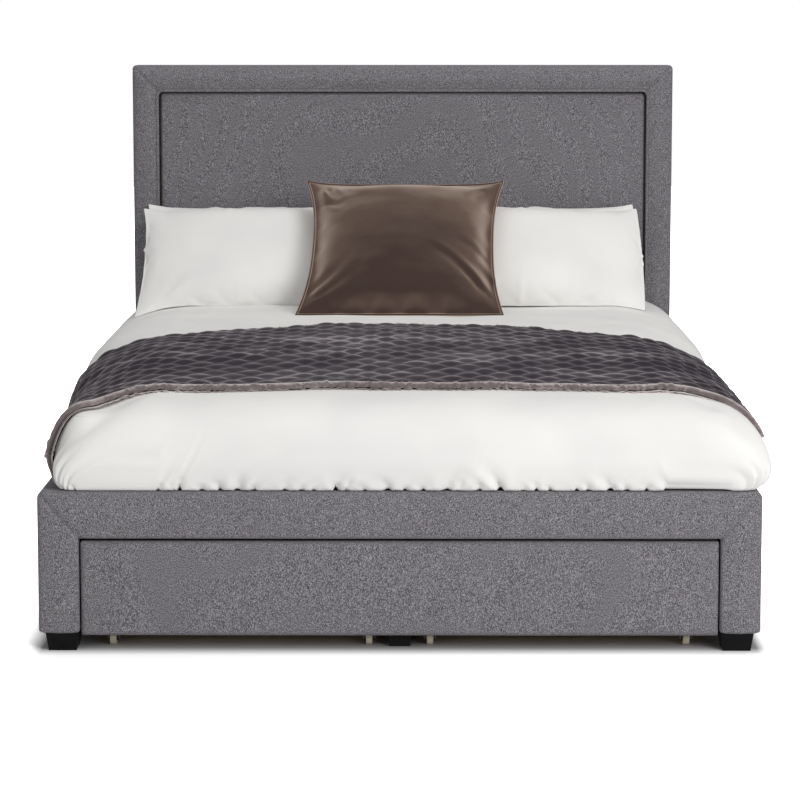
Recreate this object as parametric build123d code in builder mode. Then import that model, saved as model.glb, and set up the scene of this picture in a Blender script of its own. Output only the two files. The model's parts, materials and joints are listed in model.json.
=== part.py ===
"""Upholstered king-size platform bed with a wide storage drawer on castors under its foot end.

Millimetres. The origin is on the floor at the centre of the bed's footprint. +X points to the right
as seen from the foot of the bed, +Y points to the headboard and +Z points up.
"""
import os

from build123d import *

os.makedirs("parts", exist_ok=True)

# ---------------------------------------------------------------- driving dimensions
# Mattress, which sets the length and width of the bed
mattress_width = 1500.0
mattress_length = 2000.0
mattress_height = 235.0
mattress_side_play = 5.0
mattress_end_play = 5.0
mattress_corner = 50.0
mattress_edge = 15.0

# Upholstered frame
frame_bottom = 40.0
rail_top = 363.0
rail_core = 40.0
foot_core = 45.0
face_pad = 15.0
edge_pad = 12.0
post_width = 92.0
foot_rail_height = 107.5
cover_corner = 16.0
cover_bottom_corner = 8.0
cover_face_edge = 11.0
cover_inner_edge = 7.0
timber_joint = 0.2
edge_margin = 1.0

# Headboard
head_height = 1280.0
head_pad = 45.0
head_board = 12.0
head_timber = 30.0
back_cover_thick = 3.0
border_width = 80.0
border_outer_edge = 22.0
border_inner_edge = 13.0
border_corner = 10.0
piping_width = 9.0
piping_depth = 36.0
piping_edge = 3.0
panel_edge_depth = 29.0
panel_crown = 10.0
panel_corner = 14.0
panel_edge = 11.0
head_post_width = 110.0
head_rail_height = 70.0
head_middle_rail = 600.0
hanger_block_width = 160.0
hanger_block_height = 150.0

# Corner feet
foot_top = 74.0
foot_base = 62.0
foot_side_inset = 16.0
foot_end_inset = 8.0

# Centre rail, its legs and hangers
centre_rail_width = 60.0
centre_rail_height = 62.0
centre_leg_size = 50.0
centre_leg_inset = 52.0
centre_leg_head_room = 108.0
centre_leg_count = 3
leg_chamfer = 3.0
hanger_steel = 3.0
hanger_length = 42.0
hanger_height = 120.0
hanger_drop = 55.0

# Sprung slats and their holders
slat_width = 53.0
slat_thick = 8.0
slat_rise = 12.0
slat_pitch = 150.0
slat_end_room = 70.0
slat_play = 0.3
slat_grip = 30.0
slat_slope_room = 3.2
holder_floor = 3.0
holder_wall = 3.0
holder_web = 10.0
holder_bevel = 3.0
ledger_width = 30.0
ledger_height = 30.0
ledger_end_gap = 6.0
ledger_top = 262.0

# Corner brackets and bolts
bracket_steel = 4.0
bracket_rise = 50.0
bracket_height = 120.0
bracket_rail_leg = 50.0
bracket_head_leg = 60.0
bracket_foot_leg = 33.0
bolt_radius = 4.0
bolt_play = 0.2
bolt_head_radius = 7.5
bolt_head_height = 5.0
bolt_grip = 35.0
bolt_pitch = 90.0
bolt_slot = 12.0
head_bolt_in = 39.0
foot_bolt_in = 11.0
coach_screw_pitch = 44.0
coach_screw_in = 30.0

# Drawer front
front_side_gap = 3.0
front_top_gap = 6.5
front_setback = 6.0
front_bottom = 34.0
front_core = 25.0
front_corner = 5.0

# Drawer boxes
box_inner_gap = 45.0
box_outer_gap = 45.0
box_length = 780.0
box_bottom = 42.0
box_top = 207.0
box_board = 15.0
box_base = 9.0

# Castors
wheel_radius = 17.5
wheel_width = 14.0
wheel_play = 1.0
axle_radius = 3.0
axle_play = 0.05
axle_square = 4.2
axle_nut_height = 3.0
axle_nut_radius = 4.5
ear_thick = 3.0
ear_foot = 8.0
castor_plate_length = 44.0
castor_side_inset = 24.0
castor_front_inset = 32.0
castor_back_inset = 60.0

# Bedding
soft_gap = 0.3
duvet_loft = 80.0
duvet_overhang = 30.0
duvet_bulge_rise = 92.0
duvet_shoulder_in = 5.0
duvet_shoulder_drop = 44.0
duvet_flat_in = 160.0
duvet_hem_in = 20.0
duvet_foot_set = 22.0
duvet_foot_tuck = 8.0
duvet_foot_lean = 10.0
duvet_brow_in = 50.0
duvet_brow = 22.0
duvet_slope_in = 480.0
duvet_slope_drop = 17.0
duvet_level_in = 900.0
throw_thick = 9.0
throw_foot = 260.0
throw_length = 1020.0
throw_right_hem = 430.0
pillow_width = 728.0
pillow_gap = 6.0
pillow_shift = -34.0
front_pillow_foot = 415.0
front_pillow_lean = 110.0
front_pillow_rise = 262.0
front_pillow_front = 90.0
front_pillow_back = 45.0
back_pillow_foot = 200.0
back_pillow_lean = 18.0
back_pillow_rise = 268.0
back_pillow_front = 48.0
back_pillow_back = 58.0
cushion_width = 560.0
cushion_foot = 645.0
cushion_lean = 245.0
cushion_rise = 347.0
cushion_front = 85.0
cushion_back = 64.0

# ---------------------------------------------------------------- sizes that follow
rail_thick = rail_core + face_pad
foot_depth = foot_core + face_pad
head_depth = head_pad + head_board + head_timber + back_cover_thick
bed_width = mattress_width + 2 * (mattress_side_play + rail_thick)
bed_length = mattress_length + 2 * mattress_end_play + foot_depth + head_depth

side_face = bed_width / 2
rail_inner = side_face - rail_thick
core_outer = side_face - edge_pad
core_low = frame_bottom + edge_pad
core_high = rail_top - edge_pad
foot_front = -bed_length / 2
foot_core_front = foot_front + face_pad
foot_back = foot_front + foot_depth
post_inner = side_face - post_width
foot_rail_low = rail_top - foot_rail_height

head_back = bed_length / 2
head_front = head_back - head_depth
board_front = head_front + head_pad
timber_front = board_front + head_board
timber_back = timber_front + head_timber
head_core_top = head_height - edge_pad
border_inner = side_face - border_width
border_inner_top = head_height - border_width
piping_inner = border_inner - piping_width
piping_inner_top = border_inner_top - piping_width

slat_seat = ledger_top + holder_floor
slat_end = rail_inner - holder_wall
slat_start = holder_web / 2
slat_top = slat_seat + slat_thick + slat_rise
mattress_low = slat_top + soft_gap
mattress_high = mattress_low + mattress_height
duvet_top = mattress_high + duvet_loft
mattress_y = (foot_back + head_front) / 2
slat_count = int((mattress_length - 2 * slat_end_room) // slat_pitch) + 1
panel_low = slat_top
bracket_low = frame_bottom + bracket_rise
bracket_high = bracket_low + bracket_height

front_half = post_inner - front_side_gap
front_high = foot_rail_low - front_top_gap
front_face = foot_front + front_setback
front_back = front_face + face_pad + front_core
box_outer = post_inner - box_outer_gap
box_back = front_back + box_length
box_floor = box_bottom + box_base


def spans(x_span, y_span, z_span):
    """A square-edged board that fills the (low, high) spans along X, Y and Z."""
    with BuildPart() as piece:
        with BuildSketch(Plane.XY.offset(z_span[0])):
            with Locations((sum(x_span) / 2, sum(y_span) / 2)):
                Rectangle(x_span[1] - x_span[0], y_span[1] - y_span[0])
        extrude(amount=z_span[1] - z_span[0])
    return piece


def facing_foot(y):
    """The upright plane at this y, seen from the foot: across is X, up is Z."""
    return Plane.XZ.offset(-y)


def rod(plane, points, radius, length):
    """Round rods at these points of a plane, grown along its normal."""
    with BuildPart() as rods:
        with BuildSketch(plane):
            with Locations(*points):
                Circle(radius)
        extrude(amount=length)
    return rods


def mirrored(piece):
    """The same piece for the other side of the bed."""
    with BuildPart() as other:
        mirror(piece.part, about=Plane.YZ)
    return other


def save(piece, name):
    """Label a finished piece and write it to its own file."""
    piece.part.label = name
    export_step(piece.part, f"parts/{name}.step")


def mitred(blank, inner, outer):
    """Cut an upside-down U into left, right and top lengths, mitred from inner to outer corner."""
    rise = outer[1] - inner[1]
    run = outer[0] - inner[0]
    right_cut = Plane(origin=(inner[0], 0, inner[1]), z_dir=(-rise, 0, run))
    left_cut = Plane(origin=(-inner[0], 0, inner[1]), z_dir=(rise, 0, run))
    with BuildPart() as right:
        add(blank.part)
        split(bisect_by=Plane.YZ, keep=Keep.TOP)
        split(bisect_by=right_cut, keep=Keep.BOTTOM)
    with BuildPart() as top:
        add(blank.part)
        split(bisect_by=right_cut, keep=Keep.TOP)
        split(bisect_by=left_cut, keep=Keep.TOP)
    return mirrored(right), right, top


# ---------------------------------------------------------------- headboard
def end_bolt_points(in_from_rail):
    """Where the bolts through the end brackets go, seen from the foot, on both sides."""
    x = rail_inner - bracket_steel - in_from_rail
    middle = (bracket_low + bracket_high) / 2
    return [(side * x, middle + end * bolt_pitch / 2) for side in (-1, 1) for end in (-1, 1)]


def bolt_holes(y, in_from_rail, into):
    """Blind holes for the bolts, bored from this y towards the foot (1) or the headboard (-1)."""
    depth = bolt_grip + bolt_play
    return rod(facing_foot(y), end_bolt_points(in_from_rail), bolt_radius + bolt_play, into * depth)


def make_border_blank():
    """The whole padded border, before its corners are mitred. It wraps round the edges of the board."""
    with BuildPart() as blank:
        with BuildSketch(facing_foot(head_front)) as outline:
            with Locations((0, frame_bottom)):
                Rectangle(bed_width, head_height - frame_bottom, align=(Align.CENTER, Align.MIN))
            fillet(outline.vertices().group_by(Axis.Y)[-1], radius=border_corner)
            with BuildSketch(mode=Mode.SUBTRACT) as opening:
                with Locations((0, frame_bottom)):
                    Rectangle(
                        2 * border_inner,
                        border_inner_top - frame_bottom,
                        align=(Align.CENTER, Align.MIN),
                    )
                fillet(opening.vertices().group_by(Axis.Y)[-1], radius=panel_corner + piping_width)
        extrude(amount=-head_depth)
        face_edges = blank.faces().sort_by(Axis.Y)[0].edges()
        long_edges = face_edges.filter_by(lambda edge: edge.center().Z > frame_bottom + edge_margin)
        outer = long_edges.filter_by(
            lambda edge: abs(edge.center().X) > border_inner + edge_margin
            or edge.center().Z > border_inner_top + edge_margin
        )
        fillet(outer, radius=border_outer_edge)
        face_edges = blank.faces().sort_by(Axis.Y)[0].edges()
        inner = face_edges.filter_by(
            lambda edge: edge.center().Z > frame_bottom + edge_margin
            and abs(edge.center().X) < border_inner + edge_margin
            and edge.center().Z < border_inner_top + edge_margin
        )
        fillet(inner, radius=border_inner_edge)
        add(
            spans((-core_outer, core_outer), (board_front, head_back), (core_low, head_core_top)).part,
            mode=Mode.SUBTRACT,
        )
    return blank


def make_panel():
    """The padded centre panel, crowned across its width."""
    with BuildPart() as panel:
        with BuildSketch(Plane.XY.offset(panel_low)):
            with BuildLine():
                edge_y = board_front - panel_edge_depth
                face = ThreePointArc(
                    (-piping_inner, edge_y), (0, edge_y - panel_crown), (piping_inner, edge_y)
                )
                Polyline(face @ 1, (piping_inner, board_front), (-piping_inner, board_front), face @ 0)
            make_face()
        extrude(amount=piping_inner_top - panel_low)
        fillet(panel.edges().filter_by(Axis.Y).group_by(Axis.Z)[-1], radius=panel_corner)
        front = panel.faces().sort_by(Axis.Y)[0]
        fillet(
            front.edges().filter_by(lambda edge: edge.center().Z > panel_low + edge_margin),
            radius=panel_edge,
        )
    return panel


def make_piping():
    """The round bead sewn into the seam between the border and the centre panel, with its flange."""
    with BuildPart() as piping:
        with BuildSketch(facing_foot(board_front - piping_depth)) as outline:
            with Locations((0, panel_low)):
                Rectangle(2 * border_inner, border_inner_top - panel_low, align=(Align.CENTER, Align.MIN))
            fillet(outline.vertices().group_by(Axis.Y)[-1], radius=panel_corner + piping_width)
            with BuildSketch(mode=Mode.SUBTRACT) as opening:
                with Locations((0, panel_low)):
                    Rectangle(
                        2 * piping_inner, piping_inner_top - panel_low, align=(Align.CENTER, Align.MIN)
                    )
                fillet(opening.vertices().group_by(Axis.Y)[-1], radius=panel_corner)
        extrude(amount=-piping_depth)
        bead = piping.faces().sort_by(Axis.Y)[0].edges()
        chamfer(bead.filter_by(lambda edge: edge.center().Z > panel_low + edge_margin), length=piping_edge)
    return piping


def make_headboard_frame():
    """Two posts with three rails between them, and the block that backs the centre rail's hanger."""
    post_in = core_outer - head_post_width
    rail_half = post_in - timber_joint
    depth = (timber_front, timber_back)
    rails = [core_low, head_middle_rail, head_core_top - head_rail_height]
    block_low = core_low + head_rail_height + timber_joint
    with BuildPart() as frame:
        add(spans((post_in, core_outer), depth, (core_low, head_core_top)).part)
        add(spans((-core_outer, -post_in), depth, (core_low, head_core_top)).part)
        for low in rails:
            add(spans((-rail_half, rail_half), depth, (low, low + head_rail_height)).part)
        add(
            spans(
                (-hanger_block_width / 2, hanger_block_width / 2),
                depth,
                (block_low, block_low + hanger_block_height),
            ).part
        )
    return frame


def make_lower_panel():
    """The timber between the legs of the border, bored for the bolts of the brackets."""
    with BuildPart() as panel:
        add(spans((-border_inner, border_inner), (head_front, board_front), (frame_bottom, panel_low)).part)
        add(bolt_holes(head_front, head_bolt_in, -1).part, mode=Mode.SUBTRACT)
    return panel


border_left, border_right, border_top = mitred(
    make_border_blank(), (border_inner, border_inner_top), (side_face, head_height)
)
save(border_left, "headboard_border_left")
save(border_right, "headboard_border_right")
save(border_top, "headboard_border_top")
save(make_panel(), "headboard_panel")
save(make_piping(), "headboard_piping")
save(make_lower_panel(), "headboard_lower_panel")
save(
    spans((-core_outer, core_outer), (board_front, timber_front), (core_low, head_core_top)),
    "headboard_board",
)
save(make_headboard_frame(), "headboard_frame")
save(
    spans((-core_outer, core_outer), (timber_back, head_back), (core_low, head_core_top)),
    "headboard_back_cover",
)


# ---------------------------------------------------------------- side rails
def make_side_cover():
    """Foam and fabric round the outer face, the top and the bottom of the right side rail."""
    with BuildPart() as cover:
        with BuildSketch(facing_foot(foot_back)) as section:
            with Locations((rail_inner, frame_bottom)):
                Rectangle(rail_thick, rail_top - frame_bottom, align=(Align.MIN, Align.MIN))
            corners = section.vertices()
            top_corners = corners.group_by(Axis.Y)[-1].sort_by(Axis.X)
            bottom_outer = corners.group_by(Axis.Y)[0].sort_by(Axis.X)[-1]
            fillet(top_corners[-1], radius=cover_corner)
            fillet(top_corners[0], radius=cover_inner_edge)
            fillet(bottom_outer, radius=cover_bottom_corner)
            with Locations((rail_inner, core_low)):
                Rectangle(
                    rail_core, core_high - core_low, align=(Align.MIN, Align.MIN), mode=Mode.SUBTRACT
                )
        extrude(amount=foot_back - head_front)
    return cover


side_rail_right = spans(
    (rail_inner, rail_inner + rail_core), (foot_back, head_front), (core_low, core_high)
)
side_cover_right = make_side_cover()
ledger_right = spans(
    (rail_inner - ledger_width, rail_inner),
    (foot_back + ledger_end_gap, head_front - ledger_end_gap),
    (ledger_top - ledger_height, ledger_top),
)
save(side_rail_right, "side_rail_right")
save(mirrored(side_rail_right), "side_rail_left")
save(side_cover_right, "side_cover_right")
save(mirrored(side_cover_right), "side_cover_left")
save(ledger_right, "ledger_right")
save(mirrored(ledger_right), "ledger_left")


# ---------------------------------------------------------------- foot end
def foot_timbers(joint):
    """The (x, z) spans of the foot end's posts and rail, with this much clearance at their joints."""
    post_in = post_inner + edge_pad
    rail_z = (foot_rail_low + edge_pad, core_high)
    return [
        ((post_in, core_outer), (core_low, core_high)),
        ((-core_outer, -post_in), (core_low, core_high)),
        ((-post_in + joint, post_in - joint), rail_z),
    ]


def make_foot_frame():
    """Two timber posts and the rail above the drawer, drilled at the back for the brackets."""
    with BuildPart() as frame:
        for x_span, z_span in foot_timbers(timber_joint):
            add(spans(x_span, (foot_core_front, foot_back), z_span).part)
        add(bolt_holes(foot_back, foot_bolt_in, 1).part, mode=Mode.SUBTRACT)
    return frame


def make_foot_cover_blank():
    """The padded cover of the whole foot end, open at the back, before its corners are mitred."""
    with BuildPart() as blank:
        with BuildSketch(facing_foot(foot_front)) as outline:
            with Locations((0, frame_bottom)):
                Rectangle(bed_width, rail_top - frame_bottom, align=(Align.CENTER, Align.MIN))
            fillet(outline.vertices().group_by(Axis.Y)[-1], radius=cover_corner)
            fillet(outline.vertices().group_by(Axis.Y)[0], radius=cover_bottom_corner)
            with Locations((0, frame_bottom)):
                Rectangle(
                    2 * post_inner,
                    foot_rail_low - frame_bottom,
                    align=(Align.CENTER, Align.MIN),
                    mode=Mode.SUBTRACT,
                )
        extrude(amount=-foot_depth)
        outer = blank.faces().sort_by(Axis.Y)[0].edges().filter_by(
            lambda edge: abs(edge.center().X) > post_inner + edge_margin
            or edge.center().Z > foot_rail_low + edge_margin
        )
        fillet(outer, radius=cover_inner_edge)
        for x_span, z_span in foot_timbers(0):
            add(spans(x_span, (foot_core_front, foot_back), z_span).part, mode=Mode.SUBTRACT)
    return blank


save(make_foot_frame(), "foot_frame")
foot_left, foot_right, foot_top_cover = mitred(
    make_foot_cover_blank(), (post_inner, foot_rail_low), (side_face, rail_top)
)
save(foot_left, "foot_cover_left")
save(foot_right, "foot_cover_right")
save(foot_top_cover, "foot_cover_top")

with BuildPart() as foot:
    with BuildSketch(Plane.XY):
        Rectangle(foot_base, foot_base)
    with BuildSketch(Plane.XY.offset(frame_bottom)):
        Rectangle(foot_top, foot_top)
    loft()

with BuildPart() as corner_feet:
    foot_x = side_face - foot_side_inset - foot_top / 2
    foot_ys = (foot_front + foot_end_inset + foot_top / 2, head_back - foot_end_inset - foot_top / 2)
    with Locations(*[(x, y) for x in (-foot_x, foot_x) for y in foot_ys]):
        add(foot.part)
save(corner_feet, "corner_feet")


# ---------------------------------------------------------------- centre rail
def make_hanger(height):
    """A steel hanger for an end of the centre rail: a screwed plate with a cheek each side of the rail."""
    half = centre_rail_width / 2
    with BuildPart() as hanger:
        with BuildSketch(Plane.XY):
            with Locations((0, -hanger_steel / 2)):
                Rectangle(2 * (half + hanger_steel), hanger_steel)
        extrude(amount=height)
        with BuildSketch(Plane.XY):
            cheek_x = half + hanger_steel / 2
            with Locations((-cheek_x, -hanger_length / 2), (cheek_x, -hanger_length / 2)):
                Rectangle(hanger_steel, hanger_length)
        extrude(amount=hanger_drop)
    return hanger


centre_rail_low = ledger_top - centre_rail_height
hanger_low = ledger_top - hanger_drop
centre_rail = spans(
    (-centre_rail_width / 2, centre_rail_width / 2),
    (foot_back + hanger_steel, head_front - hanger_steel),
    (centre_rail_low, ledger_top),
)
save(centre_rail, "centre_rail")

with BuildPart() as centre_leg:
    with BuildSketch(Plane.XY):
        Rectangle(centre_leg_size, centre_leg_size)
    extrude(amount=centre_rail_low)
    chamfer(centre_leg.faces().sort_by(Axis.Z)[0].edges(), length=leg_chamfer)

with BuildPart() as centre_legs:
    first_leg = foot_front + centre_leg_inset + centre_leg_size / 2
    last_leg = head_front - centre_leg_head_room - centre_leg_size / 2
    leg_pitch = (last_leg - first_leg) / (centre_leg_count - 1)
    with Locations(*[(0, first_leg + number * leg_pitch) for number in range(centre_leg_count)]):
        add(centre_leg.part)
save(centre_legs, "centre_legs")

with BuildPart() as centre_rail_hangers:
    with Locations((0, head_front, hanger_low)):
        add(make_hanger(hanger_drop).part)
    with Locations(Location((0, foot_back, hanger_low), (0, 0, 180))):
        add(make_hanger(hanger_height).part)
save(centre_rail_hangers, "centre_rail_hangers")


# ---------------------------------------------------------------- sprung slats
slat_rows = [
    mattress_y + (number - (slat_count - 1) / 2) * slat_pitch for number in range(slat_count)
]


def at_rows(piece):
    """One copy of a piece at each row of slats."""
    with BuildPart() as row_pieces:
        with Locations(*[(0, y) for y in slat_rows]):
            add(piece.part)
    return row_pieces


def pocket(x_span):
    """The space that one end of a slat takes in its holder."""
    half = slat_width / 2 + slat_play
    return spans(x_span, (-half, half), (slat_seat, slat_seat + slat_thick + slat_slope_room))


def make_holder(x_span, pockets):
    """A moulded slat holder that stands on its ledger or on the centre rail, open at the slat's side."""
    half = slat_width / 2 + slat_play + holder_wall
    with BuildPart() as holder:
        add(spans(x_span, (-half, half), (ledger_top, slat_seat + slat_thick + 2 * holder_wall)).part)
        chamfer(holder.edges().filter_by(Axis.X).group_by(Axis.Z)[-1], length=holder_bevel)
        for pocket_span in pockets:
            add(pocket(pocket_span).part, mode=Mode.SUBTRACT)
    return holder


with BuildPart() as slat:
    end_x = slat_end - slat_play
    start_x = slat_start + slat_play
    low_z = slat_seat
    with BuildSketch(Plane.XZ):
        with BuildLine():
            middle_x = (start_x + end_x) / 2
            under = ThreePointArc((start_x, low_z), (middle_x, low_z + slat_rise), (end_x, low_z))
            over = ThreePointArc(
                (start_x, low_z + slat_thick), (middle_x, slat_top), (end_x, low_z + slat_thick)
            )
            Line(under @ 0, over @ 0)
            Line(under @ 1, over @ 1)
        make_face()
    extrude(amount=slat_width / 2, both=True)

side_holder = make_holder((slat_end - slat_grip, rail_inner), [(slat_end - slat_grip, slat_end)])
centre_holder = make_holder(
    (-slat_start - slat_grip, slat_start + slat_grip),
    [(-slat_start - slat_grip, -slat_start), (slat_start, slat_start + slat_grip)],
)
with BuildPart() as side_holder_pair:
    add(side_holder.part)
    mirror(side_holder.part, about=Plane.YZ)

slats_right = at_rows(slat)
save(slats_right, "slats_right")
save(mirrored(slats_right), "slats_left")
save(at_rows(side_holder_pair), "slat_holders_side")
save(at_rows(centre_holder), "slat_holders_centre")


# ---------------------------------------------------------------- corner brackets and bolts
def make_bracket(end_leg):
    """A steel angle in a corner of the frame. Its corner is at the origin and its legs run -X and -Y."""
    with BuildPart() as bracket:
        with BuildSketch(Plane.XY.offset(bracket_low)):
            Rectangle(bracket_steel, bracket_rail_leg, align=(Align.MAX, Align.MAX))
            Rectangle(end_leg, bracket_steel, align=(Align.MAX, Align.MAX))
        extrude(amount=bracket_high - bracket_low)
    return bracket


def hex_heads(plane, points):
    """Hexagonal bolt heads at these points of a plane, on the side that its normal points to."""
    with BuildPart() as heads:
        with BuildSketch(plane):
            with Locations(*points):
                RegularPolygon(radius=bolt_head_radius, side_count=6)
        extrude(amount=bolt_head_height)
    return heads


with BuildPart() as right_brackets:
    with Locations((rail_inner, head_front)):
        add(make_bracket(bracket_head_leg).part)
    mirror(
        make_bracket(bracket_foot_leg).part.moved(Location((rail_inner, -foot_back, 0))),
        about=Plane.XZ,
    )
    # The coach screws that hold each bracket to its rail show only their heads.
    middle_z = (bracket_low + bracket_high) / 2
    coach_screws = [
        (-y, middle_z + end * coach_screw_pitch / 2)
        for y in (foot_back + coach_screw_in, head_front - coach_screw_in)
        for end in (-1, 1)
    ]
    inner_face = Plane(origin=(rail_inner - bracket_steel, 0, 0), x_dir=(0, -1, 0), z_dir=(-1, 0, 0))
    add(hex_heads(inner_face, coach_screws).part)

with BuildPart() as rail_brackets:
    add(right_brackets.part)
    mirror(right_brackets.part, about=Plane.YZ)
    # The bolts go through upright slots, so that each corner can be drawn up square.
    for y, bolt_in in ((head_front, head_bolt_in), (foot_back + bracket_steel, foot_bolt_in)):
        with BuildSketch(facing_foot(y)):
            with Locations(*end_bolt_points(bolt_in)):
                Rectangle(2 * (bolt_radius + bolt_play), bolt_slot)
        extrude(amount=bracket_steel, mode=Mode.SUBTRACT)
save(rail_brackets, "rail_brackets")

with BuildPart() as bed_bolts:
    shank = bracket_steel + bolt_grip
    head_seat = facing_foot(head_front - bracket_steel)
    foot_seat = facing_foot(foot_back + bracket_steel)
    add(rod(head_seat, end_bolt_points(head_bolt_in), bolt_radius, -shank).part)
    add(rod(foot_seat, end_bolt_points(foot_bolt_in), bolt_radius, shank).part)
    add(hex_heads(head_seat, end_bolt_points(head_bolt_in)).part)
    add(hex_heads(foot_seat.offset(-bolt_head_height), end_bolt_points(foot_bolt_in)).part)
save(bed_bolts, "bed_bolts")

# ---------------------------------------------------------------- drawer front
board_half = front_half - edge_pad
board_low = front_bottom + edge_pad
board_high = front_high - edge_pad

drawer_front_board = spans(
    (-board_half, board_half), (front_face + face_pad, front_back), (board_low, board_high)
)
save(drawer_front_board, "drawer_front_board")

with BuildPart() as drawer_front_cover:
    with BuildSketch(facing_foot(front_face)):
        with Locations((0, (front_bottom + front_high) / 2)):
            RectangleRounded(2 * front_half, front_high - front_bottom, front_corner)
    extrude(amount=front_face - front_back)
    fillet(drawer_front_cover.faces().sort_by(Axis.Y)[0].edges(), radius=cover_face_edge)
    add(drawer_front_board.part, mode=Mode.SUBTRACT)
save(drawer_front_cover, "drawer_front_cover")

# ---------------------------------------------------------------- drawer boxes
with BuildPart() as box_sides_right:
    side_y = (front_back, box_back)
    side_z = (box_floor, box_top)
    add(spans((box_inner_gap, box_inner_gap + box_board), side_y, side_z).part)
    add(spans((box_outer - box_board, box_outer), side_y, side_z).part)

between = (box_inner_gap + box_board, box_outer - box_board)
box_front_right = spans(between, (front_back, front_back + box_board), (box_floor, box_top))
box_back_right = spans(between, (box_back - box_board, box_back), (box_floor, box_top))
box_base_right = spans((box_inner_gap, box_outer), (front_back, box_back), (box_bottom, box_floor))

for board, name in (
    (box_sides_right, "box_sides"),
    (box_front_right, "box_front"),
    (box_back_right, "box_back"),
    (box_base_right, "box_base"),
):
    save(board, f"{name}_right")
    save(mirrored(board), f"{name}_left")

# ---------------------------------------------------------------- castors
castor_xs = (box_inner_gap + castor_side_inset, box_outer - castor_side_inset)
castor_ys = (front_back + castor_front_inset, box_back - castor_back_inset)
castor_places = {
    f"{row}_{side}_{place}": (sign * x, y)
    for row, y in zip(("front", "back"), castor_ys)
    for side, sign in (("left", -1), ("right", 1))
    for place, x in zip(("inner", "outer"), castor_xs)
}
ear_gap = wheel_width + 2 * wheel_play
ear_outer = ear_gap / 2 + ear_thick

with BuildPart() as castor_bracket:
    with BuildSketch(Plane.XY.offset(box_bottom - ear_thick)):
        Rectangle(2 * ear_outer, castor_plate_length)
    extrude(amount=ear_thick)
    with BuildSketch(Plane.YZ.offset(-ear_outer)):
        with BuildLine():
            plate_z = box_bottom - ear_thick
            shoulder = castor_plate_length / 2
            ear_low = wheel_radius - ear_foot
            Polyline(
                (-shoulder, plate_z), (-ear_foot, ear_low), (ear_foot, ear_low), (shoulder, plate_z),
                close=True,
            )
        make_face()
    extrude(amount=2 * ear_outer)
    add(
        spans((-ear_gap / 2, ear_gap / 2), (-shoulder, shoulder), (0, plate_z)).part,
        mode=Mode.SUBTRACT,
    )
    with BuildSketch(Plane.YZ.offset(-ear_outer)):
        with Locations((0, wheel_radius)):
            Rectangle(axle_square, axle_square)
    extrude(amount=2 * ear_outer, mode=Mode.SUBTRACT)

# The axle is round where the wheel runs. Its ends are square, so that the ears keep it from turning.
with BuildPart() as castor_axle:
    add(rod(Plane.YZ.offset(-ear_gap / 2), [(0, wheel_radius)], axle_radius, ear_gap).part)
    with BuildSketch(Plane.YZ.offset(-ear_outer)):
        with Locations((0, wheel_radius)):
            Rectangle(axle_square, axle_square)
    extrude(amount=2 * ear_outer)
    for end_x in (-ear_outer - axle_nut_height, ear_outer):
        with BuildSketch(Plane.YZ.offset(end_x)):
            with Locations((0, wheel_radius)):
                RegularPolygon(radius=axle_nut_radius, side_count=6)
        extrude(amount=axle_nut_height)

with BuildPart() as castor_brackets:
    with Locations(*castor_places.values()):
        add(castor_bracket.part)
save(castor_brackets, "castor_brackets")

with BuildPart() as castor_axles:
    with Locations(*castor_places.values()):
        add(castor_axle.part)
save(castor_axles, "castor_axles")


def make_wheel(place):
    """A solid nylon wheel, bored to run on its axle."""
    x, y = place
    with BuildPart() as wheel:
        with BuildSketch(Plane.YZ.offset(x - wheel_width / 2)):
            with Locations((y, wheel_radius)):
                Circle(wheel_radius)
                Circle(axle_radius + axle_play, mode=Mode.SUBTRACT)
        extrude(amount=wheel_width)
    return wheel


for name, place in castor_places.items():
    save(make_wheel(place), f"wheel_{name}")

# ---------------------------------------------------------------- bedding
mattress_half = mattress_width / 2
mattress_span = (mattress_y - mattress_length / 2, mattress_y + mattress_length / 2)

with BuildPart() as mattress:
    add(spans((-mattress_half, mattress_half), mattress_span, (mattress_low, mattress_high)).part)
    fillet(mattress.edges().filter_by(Axis.Z), radius=mattress_corner)
    chamfer(mattress.faces().filter_by(Axis.Z).edges(), length=mattress_edge)
save(mattress, "mattress")


def make_bedding_form(grow):
    """The outer form of the made bed above the rails, grown outwards by this much."""
    hem = rail_top + soft_gap
    widest = rail_top + duvet_bulge_rise
    half = [
        (side_face - duvet_flat_in, duvet_top),
        (side_face - duvet_shoulder_in, duvet_top - duvet_shoulder_drop),
        (side_face + duvet_overhang, widest),
        (side_face - duvet_hem_in, hem),
    ]
    foot_end = foot_front + duvet_foot_set
    along = [
        (foot_end + duvet_foot_tuck, hem),
        (foot_end, widest),
        (foot_end + duvet_foot_lean, mattress_high - duvet_brow),
        (foot_end + duvet_brow_in, mattress_high + duvet_brow),
        (foot_end + duvet_slope_in, duvet_top - duvet_slope_drop),
        (foot_end + duvet_level_in, duvet_top),
        (mattress_span[1], duvet_top),
        (mattress_span[1], hem),
    ]
    with BuildPart() as form:
        with BuildSketch(Plane.XZ):
            with BuildLine():
                Polyline(*half, *[(-x, z) for x, z in reversed(half)], close=True)
            make_face()
            if grow > 0:
                offset(amount=grow)
        extrude(amount=bed_length, both=True)
        with BuildSketch(Plane.YZ):
            with BuildLine():
                Polyline(*along, close=True)
            make_face()
            if grow > 0:
                offset(amount=grow)
        extrude(amount=bed_width, both=True, mode=Mode.INTERSECT)
    return form


with BuildPart() as duvet:
    add(make_bedding_form(0).part)
    room_half = mattress_half + soft_gap
    room_y = (mattress_span[0] - soft_gap, bed_length)
    add(
        spans((-room_half, room_half), room_y, (0, mattress_high + soft_gap)).part, mode=Mode.SUBTRACT
    )
save(duvet, "duvet")

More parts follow.
